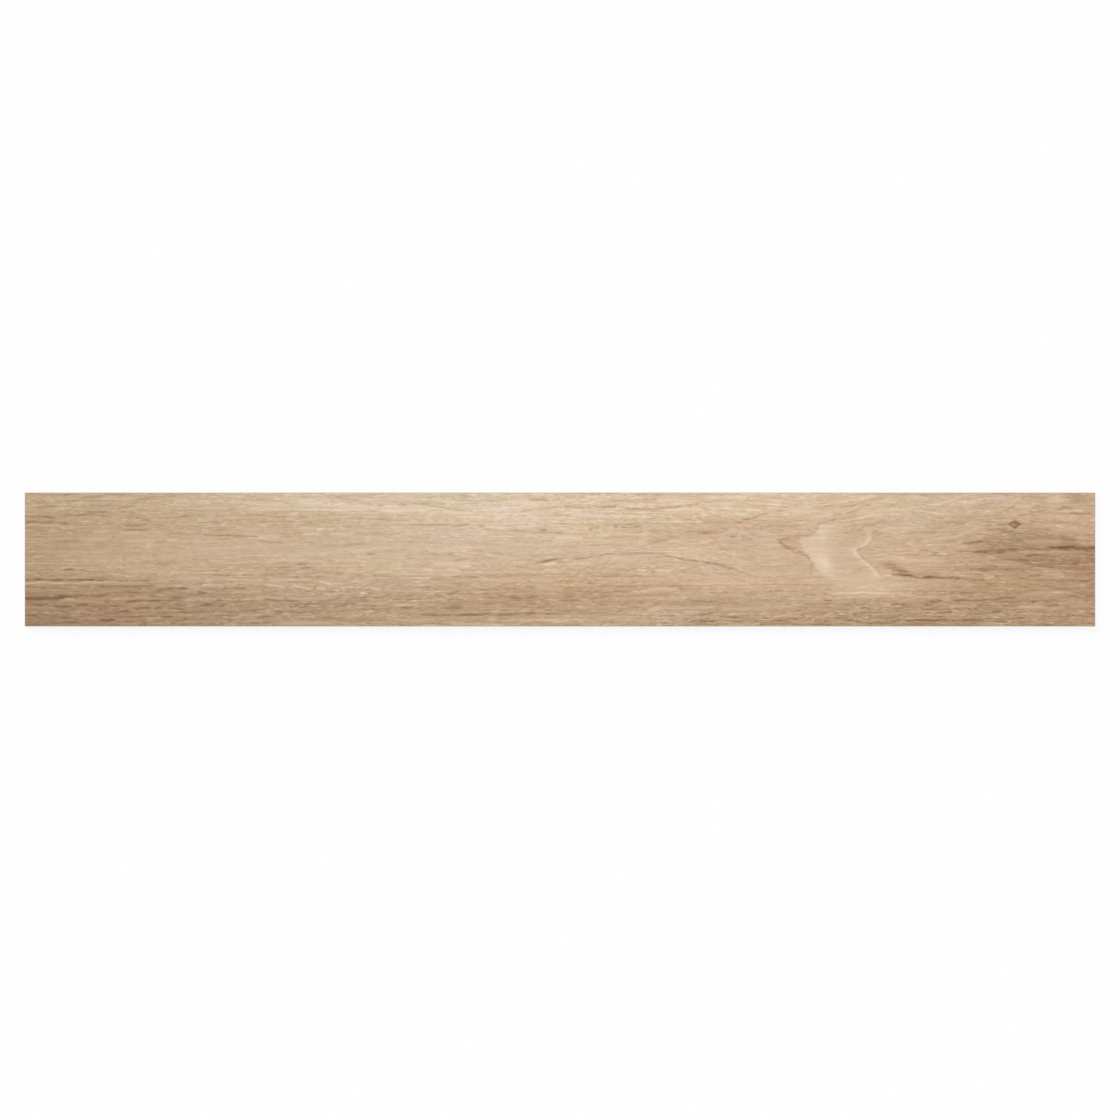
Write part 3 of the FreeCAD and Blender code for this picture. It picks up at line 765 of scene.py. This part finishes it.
# %% Steep lines
FLAME = [
    (-23, 362), (-18, 356.5), (-14, 352.5), (-9, 348.5), (-4, 343.5), (-0.3, 338.5), (3.7, 334), (7.7, 331),
    (11, 330), (13, 334), (15, 339.5), (18, 343.5), (23, 346.5), (28, 347), (31.5, 345), (33, 340),
]
GLOW_SHIFT = -2.0
SHADE_SHIFT = 4.5
STEEP_LINES = {
    "tongue, tail": ([(-18, 281.5), (-14, 279.5), (-10, 281.5), (-6, 283.5), (-2, 281.5)], 1.5, -14),
    "tongue, step": ([(28.5, 284), (31, 286.5), (35, 287.8), (39, 288.5), (42, 291)], 2.4, -11),
    "flame": (FLAME, 2.8, 13),
    "flame, its glow": ([(y, x + GLOW_SHIFT) for y, x in FLAME], 6.5, 9),
    "flame, shaded side": ([(y, x + SHADE_SHIFT) for y, x in FLAME], 2.4, -11),
}
print("steep lines:", len(STEEP_LINES))

# %% [markdown]
# The ink of a bent line depends on how far a point lies from its curve. Noise sways the lines, so that they
# don't look drawn with a ruler. The one small knot is a dark diamond with a paler pith in it.

# %% Lines and knot
BENT_INK_BEGINS = 1.6
# Size along and across, detail, layer and reach of the sway
LINE_SWAY = (40, 14, 2, 1.3, 2.4)
# Centre, half length and half width, softness of the edge
KNOT = ((510.0, 39.5), (8.0, 5.0), 0.35)
PITH = ((508.3, 39.2), (3.4, 1.5), 0.5)


def add_line(tree, along, across, total, points, half_thickness, tone):
    """Adds one soft line to the total. It fades out at both ends."""
    first, last = points[0][0], points[-1][0]
    share = add_node(tree, "ShaderNodeMapRange", along, first, last, 0.0, 1.0).outputs[0]
    ends = sum_of(tree, "MULTIPLY", share, sum_of(tree, "SUBTRACT", 1.0, share))
    strength = ease(tree, ends, 0.0, ENDS_FADE, 0.0, tone)
    off = sum_of(tree, "ABSOLUTE", sum_of(tree, "SUBTRACT", across, curve_of(tree, along, points)))
    ink = ease(tree, off, BENT_INK_BEGINS * half_thickness, INK_FULL * half_thickness)
    return sum_of(tree, "MULTIPLY_ADD", ink, strength, total)


def figure_lines(tree, along, across, painted):
    """The tone of all lines together, painted and drawn."""
    across = add_noise(tree, along, across, across, *LINE_SWAY)
    total = painted
    for line in LYING_LINES.values():
        total = add_line(tree, along, across, total, *line)
    for line in STEEP_LINES.values():
        total = add_line(tree, across, along, total, *line)
    return total


def diamond(tree, along, across, centre, half, edge):
    """1 inside a diamond, fading to 0 at its edge."""
    run = sum_of(tree, "ABSOLUTE", sum_of(tree, "SUBTRACT", along, centre[0]))
    height = sum_of(tree, "ABSOLUTE", sum_of(tree, "SUBTRACT", across, centre[1]))
    run = sum_of(tree, "DIVIDE", run, half[0])
    far = sum_of(tree, "ADD", run, sum_of(tree, "DIVIDE", height, half[1]))
    return ease(tree, far, 1.0 + edge, 1.0 - edge)


print("bent lines:", len(LYING_LINES) + len(STEEP_LINES), "knot at", KNOT[0])

# %% [markdown]
# ## The recipe of the grain
# First the place across the plank is bent a little, so that no fibre runs ruler-straight, and it is leaned
# where the fibres of this plank swing round the tongue and the knot.

# %% Flow of the fibres
# Size along and across, detail, layer and reach of each sway
SWAYS = [(260, 75, 1, 3.7, 4.0), (60, 20, 1, 8.1, 0.9)]
# Centre x and y, half length, half width, slope of the fibres there
LEANS = [
    (330, 55, 75, 24, 0.22),
    (440, 35, 50, 26, 0.15),
    (475, 62, 45, 16, 0.2),
    (560, 28, 45, 15, -0.12),
    (20, 0, 90, 13, 0.1),
    (175, -5, 70, 14, -0.15),
]


def soft_spot(tree, along, across, centre_x, centre_y, half_length, half_width):
    """1 in the middle of an ellipse, fading to 0 all round it."""
    run = sum_of(tree, "DIVIDE", sum_of(tree, "SUBTRACT", along, centre_x), half_length)
    height = sum_of(tree, "DIVIDE", sum_of(tree, "SUBTRACT", across, centre_y), half_width)
    far = sum_of(tree, "MULTIPLY_ADD", height, height, sum_of(tree, "MULTIPLY", run, run))
    return sum_of(tree, "EXPONENT", sum_of(tree, "MULTIPLY", far, -1.0))


def fibre_flow(tree, along, across):
    """The place across the plank, bent so that fibres drawn on it swing and lean."""
    flow = across
    for sway in SWAYS:
        flow = add_noise(tree, along, across, flow, *sway)
    for centre_x, centre_y, half_length, half_width, slope in LEANS:
        spot = soft_spot(tree, along, across, centre_x, centre_y, half_length, half_width)
        lean = sum_of(tree, "MULTIPLY", spot, sum_of(tree, "SUBTRACT", along, centre_x))
        flow = sum_of(tree, "MULTIPLY_ADD", lean, -slope, flow)
    return flow


print("fibres lean in", len(LEANS), "places")

# %% [markdown]
# Then the tones are added up, one on the other: ground, knot, lines, fibres and pores, and two slower
# noises that keep calm areas alive. The fibres also break up the lines, which would look too clean
# otherwise, and light fibres are lifted a little above what the dark ones take away.

# %% Fibres and pores together
# Size along and across, detail and layer
SOFT_FIBRES = (42, 2.6, 3, 0.4)
FRAY = (25, 0.4, 1, 6.3)
SOFT_TONE = 11.5
# Length, thickness, layer and tone, from the longest fibres to the pores
DASHES = [(60, 1.8, 7.7, 10.5), (20, 1.7, 4.4, 11.0), (5, 1.6, 2.5, 14.0), (3, 0.8, 13.9, 12.0)]


def all_fibres(tree, along, flow):
    """The tone of soft fibres, dashes and pores together."""
    fray = streaky_noise(tree, along, flow, *FRAY)
    fibres = sum_of(tree, "MULTIPLY", streaky_noise(tree, along, flow, *SOFT_FIBRES), SOFT_TONE)
    for length, thickness, layer, tone in DASHES:
        dash = dashes(tree, along, flow, length, thickness, layer, fray)
        fibres = sum_of(tree, "MULTIPLY_ADD", dash, tone, fibres)
    return fibres


print("kinds of dashes:", len(DASHES))

# %% Everything together
# What is left of a line where a fibre crosses it: change for each step of the fibre's tone, least, most
BREAK_UP = -0.04
BROKEN_LEAST = 0.3
BROKEN_MOST = 1.6
LIGHT_GAIN = 1.25
KNOT_TONE = -60.0
PITH_TONE = 40.0
MIDDLING = (95, 7, 2, 5.2)
MIDDLING_TONE = 22.0
BROAD = (320, 24, 2, 9.6, 10.0)


def grain(tree, along, across, ground, painted, strength):
    """The tone of the print, and the parts of it that also press into the surface."""
    flow = fibre_flow(tree, along, across)
    fibres = all_fibres(tree, along, flow)
    left = sum_of(tree, "MULTIPLY_ADD", fibres, BREAK_UP, 1.0)
    left = sum_of(tree, "MINIMUM", sum_of(tree, "MAXIMUM", left, BROKEN_LEAST), BROKEN_MOST)
    lines = sum_of(tree, "MULTIPLY", figure_lines(tree, along, across, painted), left)
    fibres = sum_of(tree, "MULTIPLY", fibres, strength)
    fibres = sum_of(tree, "MAXIMUM", fibres, sum_of(tree, "MULTIPLY", fibres, LIGHT_GAIN))
    knot = diamond(tree, along, across, *KNOT)
    tone = sum_of(tree, "MULTIPLY_ADD", knot, KNOT_TONE, ground)
    tone = sum_of(tree, "MULTIPLY_ADD", diamond(tree, along, across, *PITH), PITH_TONE, tone)
    tone = sum_of(tree, "ADD", tone, lines)
    tone = sum_of(tree, "ADD", tone, fibres)
    middling = sum_of(tree, "MULTIPLY", streaky_noise(tree, along, flow, *MIDDLING), strength)
    tone = sum_of(tree, "MULTIPLY_ADD", middling, MIDDLING_TONE, tone)
    tone = add_noise(tree, along, flow, tone, *BROAD)
    return {"tone": tone, "lines": lines, "fibres": fibres, "knot": knot}


def in_millimetres(tree, place):
    """Along and across, in millimetres, from a place in metres."""
    larger = add_node(tree, "ShaderNodeVectorMath", place, operation="SCALE")
    larger.inputs["Scale"].default_value = 1.0 / MM
    sides = add_node(tree, "ShaderNodeSeparateXYZ", larger.outputs[0]).outputs
    return sides[0], sides[1]


print("the recipe gives tone, lines, fibres and knot")

# %% [markdown]
# ## Relief of the grain
# The glaze follows a structured press plate, so dark lines and pores are also shallow grooves, a tenth or
# two of a millimetre deep. A bump in the material would be less work, but it leaves the mesh flat. So
# Geometry Nodes moves each point of the face down by the grain recipe. The highest points stay at the
# plank's own height, and near the rim the relief runs out, because the arris is ground there.

# %% Depth of the relief
# In millimetres: of plain wood, for each step of tone in lines and in fibres, of the knot, and at most
PLAIN_DEPTH = 0.1
LINE_DEPTH = -0.005
FIBRE_DEPTH = -0.004
KNOT_DEPTH = 0.12
RELIEF_DEEPEST = 0.3
RIM_FADE = 3.0


def relief_depth(tree, place):
    """How far each point of the face goes down, in millimetres."""
    along, across = in_millimetres(tree, place)
    ground, painted, strength = [
        add_node(tree, "GeometryNodeInputNamedAttribute", name, data_type="FLOAT").outputs[0]
        for name in ("ground_tone", "streak_tone", "fibre_strength")
    ]
    parts = grain(tree, along, across, ground, painted, strength)
    depth = sum_of(tree, "MULTIPLY_ADD", parts["lines"], LINE_DEPTH, PLAIN_DEPTH)
    depth = sum_of(tree, "MULTIPLY_ADD", parts["fibres"], FIBRE_DEPTH, depth)
    depth = sum_of(tree, "MULTIPLY_ADD", parts["knot"], KNOT_DEPTH, depth)
    depth = sum_of(tree, "MINIMUM", sum_of(tree, "MAXIMUM", depth, 0.0), RELIEF_DEEPEST)
    room_along = sum_of(tree, "SUBTRACT", plank_size.x / 2 / MM, sum_of(tree, "ABSOLUTE", along))
    room_across = sum_of(tree, "SUBTRACT", plank_size.y / 2 / MM, sum_of(tree, "ABSOLUTE", across))
    rim = ease(tree, sum_of(tree, "MINIMUM", room_along, room_across), ARRIS / MM, RIM_FADE)
    return sum_of(tree, "MULTIPLY", depth, rim)


print("relief at most, in mm:", RELIEF_DEEPEST)

# %% Relief
relief = bpy.data.node_groups.new("grain_relief", "GeometryNodeTree")
for way in ("INPUT", "OUTPUT"):
    relief.interface.new_socket("Geometry", in_out=way, socket_type="NodeSocketGeometry")
mesh_in = relief.nodes.new("NodeGroupInput").outputs[0]
place = relief.nodes.new("GeometryNodeInputPosition").outputs[0]
drop = sum_of(relief, "MULTIPLY", relief_depth(relief, place), -MM)
shift = add_node(relief, "ShaderNodeCombineXYZ", 0.0, 0.0, drop).outputs[0]
height = add_node(relief, "ShaderNodeSeparateXYZ", place).outputs[2]
on_face = sum_of(relief, "GREATER_THAN", height, face_height - ARRIS / 2)
moved = add_node(relief, "GeometryNodeSetPosition", mesh_in, on_face, None, shift).outputs[0]
add_node(relief, "NodeGroupOutput", moved)

modifier = plank.modifiers.new("grain_relief", "NODES")
modifier.node_group = relief
bpy.ops.object.modifier_apply(modifier=modifier.name)
heights = [point.co.z for point in plank.data.vertices if point.co.z > face_height - ARRIS]
deepest = face_height - min(heights)
print("relief, in mm: deepest", round(deepest / MM, 3), "top", round(max(heights) / MM, 4))

# %% [markdown]
# The face is shaded smooth, so that its cells don't show, while the arris, the edges and the recesses keep
# their sharp corners: everything that turns by more than the angle below stays an edge.

# %% Shading
SHARP_FROM = math.radians(40.0)

bpy.ops.object.select_all(action="DESELECT")
plank.select_set(True)
bpy.context.view_layer.objects.active = plank
bpy.ops.object.shade_smooth_by_angle(angle=SHARP_FROM)
loose = sum(1 for edge in plank.data.edges if edge.is_loose)
triangles = sum(len(face.vertices) - 2 for face in plank.data.polygons)
print("triangles:", triangles, "loose edges:", loose)

# %% [markdown]
# ## The printed face
# The print has few inks, so its colours lie almost on one line, from a deep brown to a pale cream. The inks
# between these two ends began as the photo's mean colours at their tones, and were then trimmed by a few
# steps. The tone of the grain picks the colour from a Color Ramp. Two tints, one between green and red and
# one between yellow and blue, drift slowly over the plank, with small flecks on top, and keep it from
# looking dyed. The glaze is matt: roughness about one half, a little rougher in pores, with a fine bump for
# fibres too thin for the mesh.

# %% Material helpers
def from_picture(red, green, blue):
    """A colour as a picture program shows it, 0 to 255, as Blender's linear colour."""
    shares = [value / 255.0 for value in (red, green, blue)]
    linear = [((share + 0.055) / 1.055) ** 2.4 if share > 0.04045 else share / 12.92 for share in shares]
    return linear + [1.0]


def new_material(name):
    """A new material, its node tree and its shader."""
    material = bpy.data.materials.new(name)
    material.use_nodes = True
    return material, material.node_tree, material.node_tree.nodes["Principled BSDF"]


def ramp(tree, feed, stops):
    """A Color Ramp through (place, colour) stops. A new ramp has two stops, so its ends come first."""
    node = add_node(tree, "ShaderNodeValToRGB", feed)
    for number, (place, colour) in enumerate(stops):
        entry = node.color_ramp.elements[number] if number < 2 else node.color_ramp.elements.new(place)
        entry.position = place
        entry.color = colour
    return node.outputs[0]


def mix_colours(tree, share, first, second, blend):
    """Two colours mixed by a share. A Mix node has five sockets for other kinds of value before them."""
    others = [None] * 5
    node = add_node(tree, "ShaderNodeMix", share, *others, first, second, data_type="RGBA", blend_type=blend)
    return node.outputs[2]


def bump_from(tree, shader, height, strength, distance):
    """Gives the shader a bump from a height."""
    bump = add_node(tree, "ShaderNodeBump", strength, distance)
    tree.links.new(height, bump.inputs["Height"])
    tree.links.new(bump.outputs[0], shader.inputs["Normal"])


print("helpers for materials: from_picture, new_material, ramp, mix_colours, bump_from")

# %% Inks and tints
TONE_DARKEST = 80
TONE_PALEST = 220
INKS = [
    (TONE_DARKEST, (112, 77, 46)),
    (TONE_PALEST, (236, 215, 191)),
    (115, (145, 111, 79)),
    (135, (163, 131, 100)),
    (155, (182, 151, 119)),
    (175, (200, 171, 140)),
    (195, (216, 191, 162)),
]
# The tints at both ends, as shares of red, green and blue, lie TINT_STEPS away from the middle. Drift and
# flecks come after them: size along and across, detail, layer and reach in steps
TINT_STEPS = 8.0
GREEN_TO_RED = ((0.944, 1.043, 1.0, 1.0), (1.056, 0.957, 1.0, 1.0))
YELLOW_TO_BLUE = ((1.0, 1.01, 0.88, 1.0), (1.0, 0.99, 1.12, 1.0))
WARM_DRIFTS = [(90, 18, 3, 12.2, 12.0), (22, 6, 2, 19.4, 12.0)]
COOL_DRIFTS = [(90, 18, 3, 16.8, 16.0), (22, 6, 2, 23.1, 9.0)]
print("inks:", len(INKS))

# %% Oak print
PRINT_ROUGHNESS = 0.56
ROUGHER_IN_PORES = -0.004
THIN_FIBRES = (12, 0.9, 2, 15.1)
# Strength and height of the bump
PRINT_BUMP = (0.3, 0.2 * MM)

face_finish, tree, shader = new_material("oak_print")
place = add_node(tree, "ShaderNodeTexCoord").outputs["Object"]
along, across = in_millimetres(tree, place)
ground, painted, strength, warmth, coolness = [
    add_node(tree, "ShaderNodeAttribute", attribute_name=name).outputs["Fac"] for name in PAINTED
]
parts = grain(tree, along, across, ground, painted, strength)
share = add_node(tree, "ShaderNodeMapRange", parts["tone"], TONE_DARKEST, TONE_PALEST).outputs[0]
span = TONE_PALEST - TONE_DARKEST
ink = ramp(tree, share, [((tone - TONE_DARKEST) / span, from_picture(*colour)) for tone, colour in INKS])
for steps, ends, drifts in ((warmth, GREEN_TO_RED, WARM_DRIFTS), (coolness, YELLOW_TO_BLUE, COOL_DRIFTS)):
    for drift in drifts:
        steps = add_noise(tree, along, across, steps, *drift)
    share = add_node(tree, "ShaderNodeMapRange", steps, -TINT_STEPS, TINT_STEPS).outputs[0]
    tint = ramp(tree, share, [(0.0, ends[0]), (1.0, ends[1])])
    ink = mix_colours(tree, 1.0, ink, tint, "MULTIPLY")
tree.links.new(ink, shader.inputs["Base Color"])
rough = sum_of(tree, "MULTIPLY_ADD", parts["fibres"], ROUGHER_IN_PORES, PRINT_ROUGHNESS)
tree.links.new(rough, shader.inputs["Roughness"])
bump_from(tree, shader, streaky_noise(tree, along, across, *THIN_FIBRES), *PRINT_BUMP)
print("oak print:", len(tree.nodes), "nodes")

# %% [markdown]
# ## The bare body
# Edges and back are unglazed porcelain: a pale beige stone with fine specks. The grinding wheels leave thin
# lines along the edges, so a noise that is long along the plank and very thin in height makes them, in
# roughness and bump.

# %% Ground edges
BODY = from_picture(174, 164, 149)
BODY_DARK = from_picture(152, 140, 124)
# Scale, detail and roughness of the noise
SPECKS = (900.0, 3.0, 0.6)
DARK_UP_TO = 0.3
LIGHT_FROM = 0.62
GRINDING_SCALE = (30.0, 30.0, 5000.0)
GRINDING_DETAIL = 2.0
GRINDING_RANGE = (0.3, 0.7)
EDGE_ROUGHNESS = (0.55, 0.8)
EDGE_BUMP = (0.4, 0.1 * MM)


def body_colour(tree, place):
    """Beige with fine specks, and the specks' own noise."""
    specks = add_node(tree, "ShaderNodeTexNoise", place, None, *SPECKS).outputs[0]
    return ramp(tree, specks, [(DARK_UP_TO, BODY_DARK), (LIGHT_FROM, BODY)]), specks


edge_finish, tree, shader = new_material("ground_edge")
place = add_node(tree, "ShaderNodeTexCoord").outputs["Object"]
tree.links.new(body_colour(tree, place)[0], shader.inputs["Base Color"])
stretched = add_node(tree, "ShaderNodeMapping", place)
stretched.inputs["Scale"].default_value = GRINDING_SCALE
noise = add_node(tree, "ShaderNodeTexNoise", stretched.outputs[0], None, 1.0, GRINDING_DETAIL)
scratches = noise.outputs[0]
rough = ease(tree, scratches, *GRINDING_RANGE, *EDGE_ROUGHNESS)
tree.links.new(rough, shader.inputs["Roughness"])
bump_from(tree, shader, scratches, *EDGE_BUMP)
print("ground edge:", len(tree.nodes), "nodes")

# %% [markdown]
# The back is the same body, as the press left it. Its ribs carry traces of the white wash that keeps tiles
# from sticking to the kiln rollers: a patchy noise, kept to the ribs by the height above the bearing plane.

# %% Pressed back
KILN_WASH = from_picture(226, 221, 210)
WASH_PATCHES = (28.0, 5.0, 0.65)
WASH_BEGINS = 0.38
WASH_FULL = 0.68
WASH_LEAST = 0.22
BACK_ROUGHNESS = (0.72, 0.92)
BACK_BUMP = (0.3, 0.2 * MM)

back_finish, tree, shader = new_material("pressed_back")
place = add_node(tree, "ShaderNodeTexCoord").outputs["Object"]
colour, specks = body_colour(tree, place)
on_rib = ease(tree, add_node(tree, "ShaderNodeSeparateXYZ", place).outputs[2], RECESS_DEPTH, 0.0)
patches = add_node(tree, "ShaderNodeTexNoise", place, None, *WASH_PATCHES).outputs[0]
wash = sum_of(tree, "MULTIPLY", ease(tree, patches, WASH_BEGINS, WASH_FULL, WASH_LEAST, 1.0), on_rib)
tree.links.new(mix_colours(tree, wash, colour, KILN_WASH, "MIX"), shader.inputs["Base Color"])
tree.links.new(ease(tree, wash, 0.0, 1.0, *BACK_ROUGHNESS), shader.inputs["Roughness"])
bump_from(tree, shader, specks, *BACK_BUMP)
print("pressed back:", len(tree.nodes), "nodes")

# %% [markdown]
# Each face of the mesh now gets its finish by the way it looks: up for the print, down or inside a recess
# for the back, and sideways or on the arris for the ground edges.

# %% Finishes on faces
PRINT_LOOKS_UP = 0.8
BACK_LOOKS_DOWN = -0.1
FINISHES = [face_finish, edge_finish, back_finish]

for finish in FINISHES:
    plank.data.materials.append(finish)
for face in plank.data.polygons:
    if face.normal.z > PRINT_LOOKS_UP:
        face.material_index = FINISHES.index(face_finish)
    elif face.normal.z < BACK_LOOKS_DOWN:
        face.material_index = FINISHES.index(back_finish)
    else:
        face.material_index = FINISHES.index(edge_finish)
finish_of_faces = [face.material_index for face in plank.data.polygons]
print("faces with each finish:", [finish_of_faces.count(number) for number in range(len(FINISHES))])

# %% [markdown]
# The plank takes the place of the plain CAD solid. It has no joint, so it rides on the one body there is.

# %% Handing the plank to the frame
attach(plank, "root")
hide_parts("plank_tile")
print(plank.name, "stands for plank_tile")

# %% [markdown]
# ## Studio
# The plank lies on a plain white floor under soft light: a bright surround, and one wide lamp from the
# upper left that brings out the relief. Together they light a flat surface so that a colour comes out as it
# was written. The floor shows itself white to the camera and still takes part of the plank's shadow. Right
# under the plank it has an opening of the plank's own size, so that the keyed back is lit, and can be seen,
# from below.

# %% Floor
FLOOR_SIDE = 40.0
WINDOW_START = 1.0
FLOOR_GLOW = 0.85
WHITE = (1.0, 1.0, 1.0, 1.0)


def seen_directly(tree):
    """1 for what the camera sees itself, in a reflection or through glass."""
    rays = add_node(tree, "ShaderNodeLightPath").outputs
    seen = sum_of(tree, "MAXIMUM", rays["Is Camera Ray"], rays["Is Glossy Ray"])
    return sum_of(tree, "MAXIMUM", seen, rays["Is Transmission Ray"])


bpy.ops.mesh.primitive_plane_add(size=FLOOR_SIDE, location=(0.0, 0.0, low.z))
floor = bpy.context.object
floor.name = "floor"
bpy.ops.object.mode_set(mode="EDIT")
bpy.ops.mesh.select_all(action="SELECT")
bpy.ops.mesh.inset(thickness=(FLOOR_SIDE - WINDOW_START) / 2)
window = [side / WINDOW_START for side in (plank_size.x, plank_size.y)]
bpy.ops.transform.resize(value=(*window, 1.0), center_override=(0.0, 0.0, low.z))
bpy.ops.mesh.delete(type="FACE")
bpy.ops.object.mode_set(mode="OBJECT")
floor_finish, tree, shader = new_material("white_floor")
shader.inputs["Base Color"].default_value = WHITE
shader.inputs["Roughness"].default_value = 1.0
shader.inputs["Specular IOR Level"].default_value = 0.0
glow = add_node(tree, "ShaderNodeEmission", WHITE, 1.0)
share = sum_of(tree, "MULTIPLY", seen_directly(tree), FLOOR_GLOW)
both = add_node(tree, "ShaderNodeMixShader", share, shader.outputs[0], glow.outputs[0])
tree.links.new(both.outputs[0], tree.nodes["Material Output"].inputs["Surface"])
floor.data.materials.append(floor_finish)
print("floor:", len(floor.data.polygons), "faces round its opening")

# %% Surround and lamp
SURROUND = 0.55
LAMP_SHARE = 0.41
LAMP_TILT = math.radians(42.0)
LAMP_TURN = math.radians(35.0)
LAMP_WIDTH = math.radians(50.0)
LAMP_HEIGHT = 2.0

world = bpy.data.worlds.new("studio")
bpy.context.scene.world = world
world.use_nodes = True
tree = world.node_tree
brightness = ease(tree, seen_directly(tree), 0.0, 1.0, SURROUND, 1.0)
tree.links.new(brightness, tree.nodes["Background"].inputs["Strength"])
tree.nodes["Background"].inputs["Color"].default_value = WHITE

bpy.ops.object.light_add(type="SUN", location=(0.0, 0.0, LAMP_HEIGHT), rotation=(0.0, 0.0, 0.0))
lamp = bpy.context.object
lamp.name = "wide_lamp"
lamp.rotation_euler = (-LAMP_TILT, 0.0, LAMP_TURN)
lamp.data.angle = LAMP_WIDTH
lamp.data.energy = LAMP_SHARE * math.pi / math.cos(LAMP_TILT)
print("lamp strength:", round(lamp.data.energy, 3))

# %% [markdown]
# ## Camera
# The photo looks straight down on the plank and has no visible perspective. A long lens far above gives
# that. The distance follows from the width of the picture: the plank fills 1070.5 of its 1120 pixels.

# %% Camera
PICTURE_PIXELS = 1120.0
PLANK_PIXELS = 1070.5
PLANK_ABOVE_MIDDLE_PIXELS = 0.5
LENS = 100.0
SENSOR = 36.0

picture_width = plank_size.x * PICTURE_PIXELS / PLANK_PIXELS
distance = picture_width * LENS / SENSOR
camera_y = -PLANK_ABOVE_MIDDLE_PIXELS * picture_width / PICTURE_PIXELS
bpy.ops.object.camera_add(location=(0.0, camera_y, face_height + distance), rotation=(0.0, 0.0, 0.0))
camera = bpy.context.object
camera.name = "camera_above"
camera.data.lens = LENS
camera.data.sensor_width = SENSOR
bpy.context.scene.camera = camera
bpy.context.scene.view_settings.view_transform = "Standard"
print("camera above the face, in m:", round(distance, 3))
